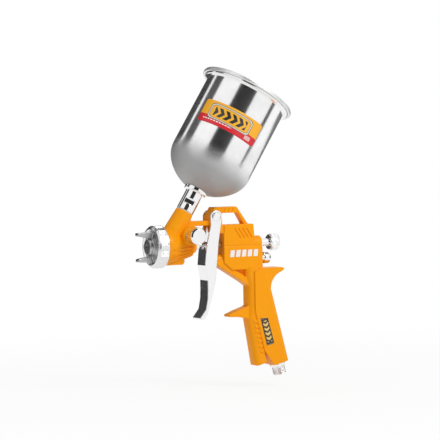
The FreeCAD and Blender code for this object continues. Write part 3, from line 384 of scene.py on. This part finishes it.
def lathe(name, place, outline, material, segments=128, rounding=0.25, shape=None, splits=1):
    """Turn an outline of (radius, station) about the seat's axis. shape may change a radius by angle."""
    closed = outline[0][0] > 0 and outline[-1][0] > 0
    outline = soften(outline, rounding, closed)
    if splits > 1:
        outline = divide(outline, splits, closed)
    work = bmesh.new()
    rings = []
    for radius, station in outline:
        if radius < 1e-6:
            rings.append([work.verts.new((0, 0, station))] * segments)
            continue
        ring = []
        for number in range(segments):
            angle = 2 * math.pi * number / segments
            reach = shape(angle, radius, station) if shape else radius
            ring.append(work.verts.new((reach * math.cos(angle), reach * math.sin(angle), station)))
        rings.append(ring)
    pairs = list(zip(rings, rings[1:]))
    if closed:
        pairs.append((rings[-1], rings[0]))
    for low, high in pairs:
        for number in range(segments):
            after = (number + 1) % segments
            corners = []
            for corner in (low[number], low[after], high[after], high[number]):
                if corner not in corners:
                    corners.append(corner)
            if len(corners) > 2:
                work.faces.new(corners)
    bmesh.ops.recalc_face_normals(work, faces=work.faces)
    work.transform(place)
    mesh = bpy.data.meshes.new(name)
    work.to_mesh(mesh)
    work.free()
    piece = add_mesh(name, mesh, material)
    weigh_normals(piece)
    return piece


LONG_SIDE = 1.0


def divide(outline, splits, closed):
    """Add points along the outline's long sides, where a shape function needs them."""
    result = []
    count = len(outline) if closed else len(outline) - 1
    for number in range(count):
        a, b = outline[number], outline[(number + 1) % len(outline)]
        long_side = math.dist(a, b) > LONG_SIDE
        steps = splits if long_side else 1
        for step in range(steps):
            t = step / steps
            result.append((a[0] + (b[0] - a[0]) * t, a[1] + (b[1] - a[1]) * t))
    if not closed:
        result.append(outline[-1])
    return result


def weigh_normals(piece):
    modifier = piece.modifiers.new("weighted", "WEIGHTED_NORMAL")
    modifier.keep_sharp = True
    modifier.weight = 80


def cast_copy(name, node, material, voxel, passes, keep=1.0):
    """A copy of a CAD node with its edges softened as casting, pressing and polishing leave them."""
    mesh = nodes[node].data.copy()
    mesh.materials.clear()
    piece = add_mesh(name, mesh, material)
    remesh = piece.modifiers.new("skin", "REMESH")
    remesh.mode = "VOXEL"
    remesh.voxel_size = voxel * MM
    smooth = piece.modifiers.new("soften", "SMOOTH")
    smooth.factor = 0.5
    smooth.iterations = passes
    if keep < 1.0:
        thin = piece.modifiers.new("thin", "DECIMATE")
        thin.ratio = keep
    bpy.context.view_layer.update()
    evaluated = piece.evaluated_get(bpy.context.evaluated_depsgraph_get())
    final = bpy.data.meshes.new_from_object(evaluated)
    piece.modifiers.clear()
    piece.data = final
    for face in final.polygons:
        face.use_smooth = True
    return piece


def fit(piece, body, *replaced):
    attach(piece, body)
    for node in replaced:
        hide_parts(node)
    return piece


def dress(material, *names):
    """Give CAD nodes that stay in view their finish."""
    for name in names:
        node = nodes[name]
        node.data.materials.clear()
        node.data.materials.append(material)


# ------------------------------------------------------------------ finishes in use
paint = body_paint()
chrome = plated("chrome", 0.92, 0.05, (1, 1, 1))
ring_plating = plated("ring_plating", 0.84, 0.19, (1, 1, 1))
cap_alloy = plated("cap_alloy", 0.50, 0.24, (1, 1, 1))
cup_turn = Vector((0, 0, 1)).rotation_difference(CUP_AXIS).inverted().to_euler()
steel_cup = cup_steel(tuple(cup_turn))
steel = plated("turned_steel", 0.78, 0.12, (2, 1, 2))
aluminium = cast_aluminium()
brass = turned_brass()
spring_wire = plated("spring_wire", 0.45, 0.25, (1, 1, 1))
nylon = moulded("nylon", (0.62, 0.60, 0.55, 1), (0.78, 0.76, 0.71, 1), 0.42)
rubber = moulded("rubber", (0.012, 0.012, 0.013, 1), (0.03, 0.03, 0.032, 1), 0.6)
white_print = moulded("white_print", (0.86, 0.86, 0.85, 1), (0.95, 0.95, 0.94, 1), 0.4)

dress(steel, "fluid_nozzle", "fluid_needle", "needle_collar", "needle_spring_seat", "valve_stem",
      "cup_retaining_nut")
dress(chrome, "packing_nut", "needle_guide_bush", "air_valve_gland", "fluid_knob_plunger",
      "trigger_pin_clip")
dress(brass, "needle_front_bush", "air_valve_seat", "valve_poppet", "air_distributor")
dress(spring_wire, "needle_spring", "air_valve_spring", "fan_spindle")
dress(nylon, "needle_packing", "air_valve_packing", "inlet_washer", "cup_socket_seal", "cup_filter",
      "nozzle_gasket")
dress(rubber, "valve_poppet_seal", "lid_gasket")
dress(white_print, "side_marks")


# ------------------------------------------------------------------ gun body
def make_gun_body():
    piece = cast_copy("gun_body_casting", "gun_body", paint, 0.36, 2, 0.4)
    return fit(piece, "gun", "gun_body")


make_gun_body()


RIB_COUNT = 12
RIB_FIRST = -171.0
RIB_PITCH = 14.7
RIB_SECTIONS = (  # station along the head, distance from its axis, half width; foot and crest, front and back
    (-39.0, 16.6, 0.95), (-39.0, 18.6, 0.6), (-13.0, 10.5, 0.38), (-13.0, 8.0, 0.6))
RIB_EDGE = 0.22


def make_cone_ribs():
    """Raised ribs running back along the head's cone, on both sides and underneath."""
    work = bmesh.new()
    for number in range(RIB_COUNT):
        angle = math.radians(RIB_FIRST + number * RIB_PITCH)
        outward = Vector((0, math.cos(angle), math.sin(angle)))
        along = Vector((0, -math.sin(angle), math.cos(angle)))
        ring = []
        for station, reach, spread in RIB_SECTIONS:
            for side in (-1, 1):
                spot = Vector((station, 0, 0)) + outward * reach + along * side * spread
                ring.append(work.verts.new(spot))
        a, b, c, d, e, f, g, h = ring
        for face in ((a, b, d, c), (c, d, f, e), (e, f, h, g), (g, h, b, a), (a, c, e, g), (b, h, f, d)):
            work.faces.new(face)
    bmesh.ops.recalc_face_normals(work, faces=work.faces)
    bmesh.ops.bevel(work, geom=list(work.edges), offset=RIB_EDGE, segments=2, affect="EDGES", profile=0.5)
    work.transform(GUN)
    mesh = bpy.data.meshes.new("cone_ribs")
    work.to_mesh(mesh)
    work.free()
    piece = add_mesh("cone_ribs", mesh, paint)
    return fit(piece, "gun")


make_cone_ribs()


# ------------------------------------------------------------------ cup
WALL = 0.8
CUP_RADIUS = 41.1
DOME = 44.9
CUP_FOOT = 23.8
RIM = CUP_FOOT + 110.0
BEAD = 44.6
HOLE = 7.2
FLANGE = 11.4
BLEND_START = 34.5
BLEND_STEPS = 14


def dome(radius, inset=0.0):
    """Station of the domed bottom at a radius, inset from its outer face."""
    reach = DOME - inset
    return CUP_FOOT + DOME - math.sqrt(reach * reach - radius * radius)


def dome_points(start, end, inset, steps):
    return [(start + (end - start) * n / steps, dome(start + (end - start) * n / steps, inset))
            for n in range(steps + 1)]


def dome_blend(start, wall_radius, inset):
    """Curve from the dome into the cup's straight wall."""
    begin = dome(start, inset)
    slope = start / math.sqrt((DOME - inset) ** 2 - start ** 2)
    rise = (wall_radius - start) * slope
    run = math.hypot(wall_radius - start, rise)
    low, bend, high = (start, begin), (wall_radius, begin + rise), (wall_radius, begin + rise + run)
    spots = []
    for step in range(1, BLEND_STEPS + 1):
        t = step / BLEND_STEPS
        spots.append(tuple(a * (1 - t) ** 2 + b * 2 * t * (1 - t) + c * t * t
                           for a, b, c in zip(low, bend, high)))
    return spots


def make_cup_shell():
    inside = CUP_RADIUS - WALL
    outline = dome_points(HOLE, BLEND_START, 0, 24) + dome_blend(BLEND_START, CUP_RADIUS, 0)
    outline += [(CUP_RADIUS, RIM - 4.4), (BEAD - 1.7, RIM - 3.2)]
    outline += [(BEAD - 0.4, RIM - 2.7), (BEAD, RIM - 1.7), (BEAD - 0.3, RIM - 0.6), (BEAD - 1.4, RIM),
                (inside + 0.4, RIM), (inside, RIM - 0.5)]
    outline += dome_blend(BLEND_START, inside, WALL)[::-1] + dome_points(BLEND_START, HOLE, WALL, 20)
    piece = lathe("cup_shell_spun", CUP, outline, steel_cup, 256, 0.3)
    return fit(piece, "cup", "cup_shell")


def make_cup_stem():
    """Turned stem with a flange under the cup and two flats for a wrench."""
    neck = 8.65
    flats_face, flats_reach = 243.0, 7.15

    def wrench_flats(angle, radius, station):
        if 8.0 < station < 12.6 and radius > 7:
            facing = abs(math.cos(angle - math.radians(flats_face)))
            limit = flats_reach / max(facing, 0.2)
            return min(radius, limit)
        return radius

    top = dome(HOLE) + 4.0
    outline = [(4.2, -12), (5.8, -12), (6.4, -11.4), (6.4, 0.9), (neck, 0.9), (neck, 7.9), (neck, 8.1),
               (neck, 12.5), (neck, 12.7), (neck, 21.0), (FLANGE - 0.8, 21.6), (FLANGE, 22.3),
               (FLANGE, dome(FLANGE) - 0.1), (HOLE, dome(HOLE) - 0.02), (HOLE, top), (4.2, top)]
    piece = lathe("cup_stem_turned", CUP, outline, chrome, 192, 0.18, wrench_flats, 6)
    return fit(piece, "cup", "cup_stem")


def make_lid():
    skirt = 47.3
    inner = BEAD + 0.3
    outline = [(4.0, RIM + 0.8), (inner, RIM + 0.8), (inner, RIM - 1.6), (skirt - 0.5, RIM - 1.6),
               (skirt, RIM - 1.0), (skirt, RIM + 0.7), (skirt - 0.4, RIM + 1.7), (skirt - 1.5, RIM + 2.1),
               (skirt - 4.5, RIM + 2.1), (skirt - 5.6, RIM + 1.6), (4.0, RIM + 1.6)]
    piece = lathe("cup_lid_pressed", CUP, outline, aluminium, 256, 0.3)
    return fit(piece, "lid", "cup_lid")


def make_vent():
    def ribs(angle, radius, station):
        grip = radius > 6.5 and station > RIM + 2.6
        return radius - 0.25 * (1 + math.cos(24 * angle)) * 0.5 if grip else radius

    outline = [(0.8, RIM - 2), (4, RIM - 2), (4, RIM + 1.6), (6.4, RIM + 1.6), (7, RIM + 2.2),
               (7, RIM + 5.4), (6.2, RIM + 6.4), (0.8, RIM + 6.4)]
    piece = lathe("lid_vent_moulded", CUP, outline, nylon, 192, 0.25, ribs, 3)
    return fit(piece, "lid", "lid_vent")


LABEL_WRAP = 91.0
LABEL_FACES = 243.8
LABEL_HEIGHT = 23.4
LABEL_DROP = 29.8
LABEL_CORNER = 2.0
LABEL_FILM = 0.14
LABEL_GAP = 0.02


def make_cup_label():
    """Thin printed film wrapped on the cup, with round corners and a flat sheet map in millimetres."""
    columns, rows = 96, 24
    half_wrap = math.radians(LABEL_WRAP / 2)
    half_arc = CUP_RADIUS * half_wrap
    low = RIM - LABEL_DROP - LABEL_HEIGHT
    work = bmesh.new()
    sheet = work.loops.layers.uv.new("sheet")
    grid = []
    for row in range(rows + 1):
        height = LABEL_HEIGHT * row / rows
        from_edge = min(height, LABEL_HEIGHT - height)
        corner = LABEL_CORNER
        inset = corner - math.sqrt(corner ** 2 - (corner - from_edge) ** 2) if from_edge < corner else 0.0
        line = []
        for column in range(columns + 1):
            spread = (column / columns * 2 - 1) * (half_arc - inset)
            angle = math.radians(LABEL_FACES) + spread / CUP_RADIUS
            spot = (CUP_RADIUS * math.cos(angle), CUP_RADIUS * math.sin(angle), low + height)
            line.append((work.verts.new(spot), (spread, height)))
        grid.append(line)
    for row in range(rows):
        for column in range(columns):
            corners = [grid[row][column], grid[row][column + 1], grid[row + 1][column + 1],
                       grid[row + 1][column]]
            face = work.faces.new([vertex for vertex, _ in corners])
            for loop, (_, place) in zip(face.loops, corners):
                loop[sheet].uv = place
    for vertex in work.verts:
        outward = Vector((vertex.co.x, vertex.co.y, 0)).normalized()
        vertex.co += outward * LABEL_GAP
    work.transform(CUP)
    mesh = bpy.data.meshes.new("cup_label_film")
    work.to_mesh(mesh)
    work.free()
    piece = add_mesh("cup_label_film", mesh, printed_label())
    solid = piece.modifiers.new("film", "SOLIDIFY")
    solid.thickness = LABEL_FILM * MM
    solid.offset = 1.0
    return fit(piece, "cup", "cup_label")


make_cup_shell()
make_cup_stem()
make_lid()
make_vent()
make_cup_label()


# ------------------------------------------------------------------ ring, air cap, knobs
def make_cap_ring():
    """Union ring with a bevelled mouth and groups of grip grooves round it."""
    outer = 20.4
    back = -44.2
    groups = 12

    def grooves(angle, radius, station):
        if radius < outer - 0.4 or not -53.2 < station < back - 1.8:
            return radius
        turn = (angle / (2 * math.pi) * groups) % 1.0
        depth = 0.0
        for centre in (0.30, 0.44, 0.58, 0.72):
            depth = max(depth, 1 - ((turn - centre) / 0.045) ** 2)
        return radius - 0.6 * max(depth, 0.0)

    outline = [(15.6, -54.2), (17.0, RING_FRONT), (17.6, RING_FRONT), (19.3, -55.2), (outer, -53.8),
               (outer, -53.3), (outer, -53.1), (outer, back - 1.9), (outer, back - 1.7), (outer, back - 0.7),
               (outer - 0.7, back), (16.5, back), (16.5, -53.0), (15.6, -53.0)]
    piece = lathe("cap_ring_grooved", SPRAY, outline, ring_plating, 720, 0.3, grooves, 2)
    return fit(piece, "ring", "cap_ring")


def fluted(count, depth, edge, low, high):
    """Finger grooves round a knob, between two stations and outside an edge radius."""
    def shape(angle, radius, station):
        if radius < edge or not low < station < high:
            return radius
        wave = (0.5 + 0.5 * math.cos(count * angle)) ** 3
        return radius - depth * wave
    return shape


def make_fluid_knob():
    front, back = 72.0, 81.6
    radius = 8.2
    outline = [(2.0, front), (radius - 1.2, front), (radius - 0.5, front + 0.6), (radius - 0.5, front + 1.5),
               (radius, front + 1.9), (radius, back - 1.6), (radius - 0.5, back - 0.6), (radius - 1.6, back),
               (radius - 3.2, back), (radius - 3.7, back - 0.5), (0, back - 0.5)]
    piece = lathe("fluid_knob_knurled", SPRAY, outline, chrome, 288, 0.25,
                  fluted(24, 0.75, 7.6, front + 1.7, back - 1.0), 3)
    return fit(piece, "fluid_control", "fluid_knob")


def make_fan_knob():
    front, back = 18.9, 29.7
    radius = 8.2
    outline = [(2.5, front), (radius - 1.2, front), (radius - 0.4, front + 0.7), (radius - 0.4, front + 1.7),
               (radius, front + 2.1), (radius, back - 2.0), (radius - 0.5, back - 0.9), (radius - 1.9, back),
               (0, back)]
    piece = lathe("fan_knob_knurled", FAN, outline, chrome, 288, 0.3,
                  fluted(24, 0.7, 7.7, front + 1.9, back - 1.8), 3)
    return fit(piece, "fan_control", "fan_knob")


def make_fan_body():
    def hexagon(angle, radius, station):
        if radius < 7.0:
            return radius
        return min(radius, 6.7 / math.cos((angle % (math.pi / 3)) - math.pi / 6))

    outline = [(2.56, 1.6), (5.2, 1.6), (5.2, 16), (7.0, 16), (7.4, 16.4), (7.4, 17.7), (7.0, 18.0),
               (4.6, 18.0), (4.6, 18.6), (2.56, 18.6)]
    piece = lathe("fan_valve_body_turned", FAN, outline, chrome, 192, 0.2, hexagon, 2)
    return fit(piece, "gun", "fan_valve_body")


def make_valve_cap():
    back = 61.5
    outline = [(3.6, 53), (4.6, 53), (4.6, back), (5.0, back), (5.0, back + 0.8), (4.0, back + 1.2),
               (3.9, back + 3.2), (5.1, back + 3.8), (5.6, back + 4.8), (5.6, back + 8.6),
               (5.2, back + 9.9), (4.2, back + 10.9), (2.4, back + 11.4), (0, back + 11.6)]
    piece = lathe("air_valve_cap_turned", VALVE, outline, chrome, 144, 0.3)
    return fit(piece, "gun", "air_valve_cap")


def make_trigger_pin():
    outer = 8.65
    outline = [(0, -outer - 1.4), (2.0, -outer - 1.4), (2.0, -outer - 0.9), (2.5, -outer - 0.6), (2.5, outer),
               (4.4, outer), (4.4, outer + 0.8), (3.9, outer + 1.2), (2.6, outer + 1.5), (0, outer + 1.6)]
    piece = lathe("trigger_pin_turned", PIVOT, outline, chrome, 96, 0.2)
    return fit(piece, "gun", "trigger_pin")


def make_inlet():
    """Threaded stub with a hexagon; the thread's ridges climb with the angle."""
    pitch = 1.34
    crest = 6.58

    def thread(angle, radius, station):
        if radius > 7.2:
            return min(radius, 7.6 / math.cos((angle % (math.pi / 3)) - math.pi / 6))
        if radius > 6.0 and 0.4 < station < 7.9:
            wave = (station / pitch - angle / (2 * math.pi)) % 1.0
            return crest - 0.62 * abs(2 * wave - 1)
        return radius

    outline = [(3.6, 0.6), (4.2, 0), (5.7, 0), (6.3, 0.5)]
    outline += [(6.5, 0.6 + n * 0.11) for n in range(66)]
    outline += [(5.8, 8.2), (5.8, 8.9), (8.2, 8.9), (8.75, 9.3), (8.75, 10.8), (8.2, 11.2), (6.1, 11.2),
                (6.1, 22), (3.6, 22)]
    piece = lathe("air_inlet_threaded", INLET, outline, chrome, 144, 0.12, thread)
    return fit(piece, "gun", "air_inlet_nipple")


def make_badge():
    """Raised plate on the handle's side, with a bevelled edge and its own sheet map."""
    low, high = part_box("handle_badge")
    corners = [(56.0, -73.4), (64.0, -73.4), (70.6, -98.4), (62.6, -100.4)]
    middle = Vector((sum(x for x, _ in corners) / 4, sum(z for _, z in corners) / 4))
    down = (Vector(corners[3]) - Vector(corners[0])).normalized()
    across = Vector((-down.y, down.x))
    side = high.y / MM
    work = bmesh.new()
    base = [work.verts.new((x, side, z)) for x, z in corners]
    face = work.faces.new(base)
    top = bmesh.ops.extrude_face_region(work, geom=[face])["geom"]
    for item in top:
        if isinstance(item, bmesh.types.BMVert):
            item.co.y = low.y / MM
    bmesh.ops.recalc_face_normals(work, faces=work.faces)
    bmesh.ops.bevel(work, geom=list(work.edges), offset=0.14, segments=2, affect="EDGES", profile=0.6)
    sheet = work.loops.layers.uv.new("sheet")
    for face in work.faces:
        for loop in face.loops:
            spot = Vector((loop.vert.co.x, loop.vert.co.z)) - middle
            loop[sheet].uv = (spot.dot(across), spot.dot(down))
    work.transform(GUN)
    mesh = bpy.data.meshes.new("handle_badge_plate")
    work.to_mesh(mesh)
    work.free()
    piece = add_mesh("handle_badge_plate", mesh, badge_plate(), smooth=False)
    return fit(piece, "gun", "handle_badge")


make_cap_ring()
make_fluid_knob()
make_fan_knob()
make_fan_body()
make_valve_cap()
make_trigger_pin()
make_inlet()
make_badge()
fit(cast_copy("air_cap_polished", "air_cap", cap_alloy, 0.28, 4, 0.6), "cap", "air_cap")
fit(cast_copy("trigger_pressed", "trigger", chrome, 0.35, 5, 0.6), "trigger", "trigger")


# ------------------------------------------------------------------ studio
FLOOR_DROP = -0.012
FLOOR_FADE = 700.0
FLOOR_GLOW = 0.86


def make_floor():
    """Pale paper that fades to plain white away from the object and keeps its shadow near it."""
    bpy.ops.mesh.primitive_plane_add(size=8, location=(0, 0, FLOOR_DROP))
    floor = bpy.context.object
    floor.name = "studio_floor"
    finish = Finish("floor_paper")
    fibre = finish.noise(0.02, 3)
    finish.set(Base_Color=finish.mix(fibre, grey(0.88), grey(0.92)), Roughness=0.9)
    path = finish.node("ShaderNodeLightPath")
    seen = path.maximum(path.beside("Is Glossy Ray")).maximum(path.beside("Is Transmission Ray"))
    here = finish.place()
    reach = finish.node("ShaderNodeVectorMath", {"operation": "LENGTH"}, {0: here}, output="Value")
    fade = (reach / FLOOR_FADE).minimum(1.0)
    glow = finish.node("ShaderNodeEmission", None, {"Color": grey(1.0), "Strength": 1.0})
    paper = Value(finish, finish.shader.outputs[0])
    share = seen * (FLOOR_GLOW + fade * (1 - FLOOR_GLOW))
    mixed = finish.node("ShaderNodeMixShader", None, {0: share, 1: paper, 2: glow})
    finish.feed(finish.tree.nodes["Material Output"].inputs[0], mixed)
    floor.data.materials.append(finish.material)


CARD_REACH = 0.9
CARD_LOW = -0.9
CARD_HIGH = 1.3
CARD_STEPS = 12
CARDS = (  # name, first and last angle from the camera's side in degrees, tone
    ("card_front", -27, 21, 0.035), ("card_right", 76, 88, 0.05), ("card_left", -108, -80, 0.10),
    ("card_rear_left", -168, -118, 0.06), ("card_rear_right", 122, 160, 0.22))


def make_reflector(name, start, end, tone):
    """Curved card round the cup's axis that only reflections see."""
    middle = (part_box("cup_shell")[0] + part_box("cup_shell")[1]) * 0.5
    side = math.radians(VIEW_AZIMUTH)
    front = Vector((math.sin(side), -math.cos(side), 0))
    front = (front - CUP_AXIS * front.dot(CUP_AXIS)).normalized()
    right = front.cross(CUP_AXIS) * -1
    work = bmesh.new()
    columns = []
    for step in range(CARD_STEPS + 1):
        angle = math.radians(start + (end - start) * step / CARD_STEPS)
        foot = middle + (front * math.cos(angle) + right * math.sin(angle)) * CARD_REACH
        columns.append([work.verts.new(foot + CUP_AXIS * height) for height in (CARD_LOW, CARD_HIGH)])
    for left_edge, right_edge in zip(columns, columns[1:]):
        work.faces.new((left_edge[0], right_edge[0], right_edge[1], left_edge[1]))
    mesh = bpy.data.meshes.new(name)
    work.to_mesh(mesh)
    work.free()
    finish = Finish(name)
    finish.set(Base_Color=grey(tone), Roughness=0.9)
    card = add_mesh(name, mesh, finish.material)
    card.visible_camera = False
    card.visible_shadow = False
    card.visible_diffuse = False


def away_from(azimuth, elevation):
    """Direction from the object to a point at an azimuth and elevation in degrees; 0, 0 is -Y."""
    side, rise = math.radians(azimuth), math.radians(elevation)
    return Vector((math.sin(side) * math.cos(rise), -math.cos(side) * math.cos(rise), math.sin(rise)))


def make_light(name, target, azimuth, elevation, distance, size, power, mirrored=True):
    away = away_from(azimuth, elevation)
    data = bpy.data.lights.new(name, "AREA")
    data.size = size
    data.energy = power
    light = bpy.data.objects.new(name, data)
    light.location = target + away * distance
    light.visible_glossy = mirrored
    light.rotation_euler = away.to_track_quat("Z", "Y").to_euler()
    bpy.context.scene.collection.objects.link(light)


WORLD_LIGHT = 0.52


def make_world():
    """Plain white to the camera and in reflections, dimmer as light on the object."""
    world = bpy.data.worlds.new("studio")
    bpy.context.scene.world = world
    world.use_nodes = True
    sky = Nodes(world.node_tree)
    path = sky.node("ShaderNodeLightPath")
    seen = path.maximum(path.beside("Is Glossy Ray"))
    strength = sky.node("ShaderNodeMapRange", None, {"Value": seen, "To Min": WORLD_LIGHT, "To Max": 1.0})
    background = sky.tree.nodes["Background"]
    sky.feed(background.inputs["Color"], (1, 1, 1, 1))
    sky.feed(background.inputs["Strength"], strength)


VIEW_ELEVATION = 2.0
VIEW_ROLL = 1.2
VIEW_DISTANCE = 2.2
VIEW_FIELD = 0.427
VIEW_TARGET = (19.4, 0, 23.5)
SENSOR = 36


def make_camera():
    target = Vector(spray_origin) + Vector(VIEW_TARGET) * MM
    away = away_from(VIEW_AZIMUTH, VIEW_ELEVATION)
    data = bpy.data.cameras.new("camera")
    data.sensor_width = SENSOR
    data.lens = SENSOR * VIEW_DISTANCE / VIEW_FIELD
    camera = bpy.data.objects.new("camera", data)
    camera.location = target + away * VIEW_DISTANCE
    turn = away.to_track_quat("Z", "Y").to_matrix().to_4x4()
    camera.rotation_euler = (turn @ Matrix.Rotation(-math.radians(VIEW_ROLL), 4, "Z")).to_euler()
    bpy.context.scene.collection.objects.link(camera)
    bpy.context.scene.camera = camera
    return target


target = make_camera()
make_floor()
make_world()
for card in CARDS:
    make_reflector(*card)
make_light("key", target, 22, 38, 1.7, 0.6, 12.5)
make_light("fill", target, -82, 12, 1.6, 0.8, 2.0, mirrored=False)
bpy.context.scene.view_settings.view_transform = "Standard"


def corners(box):
    return [[float(part) for part in corner] for corner in box]
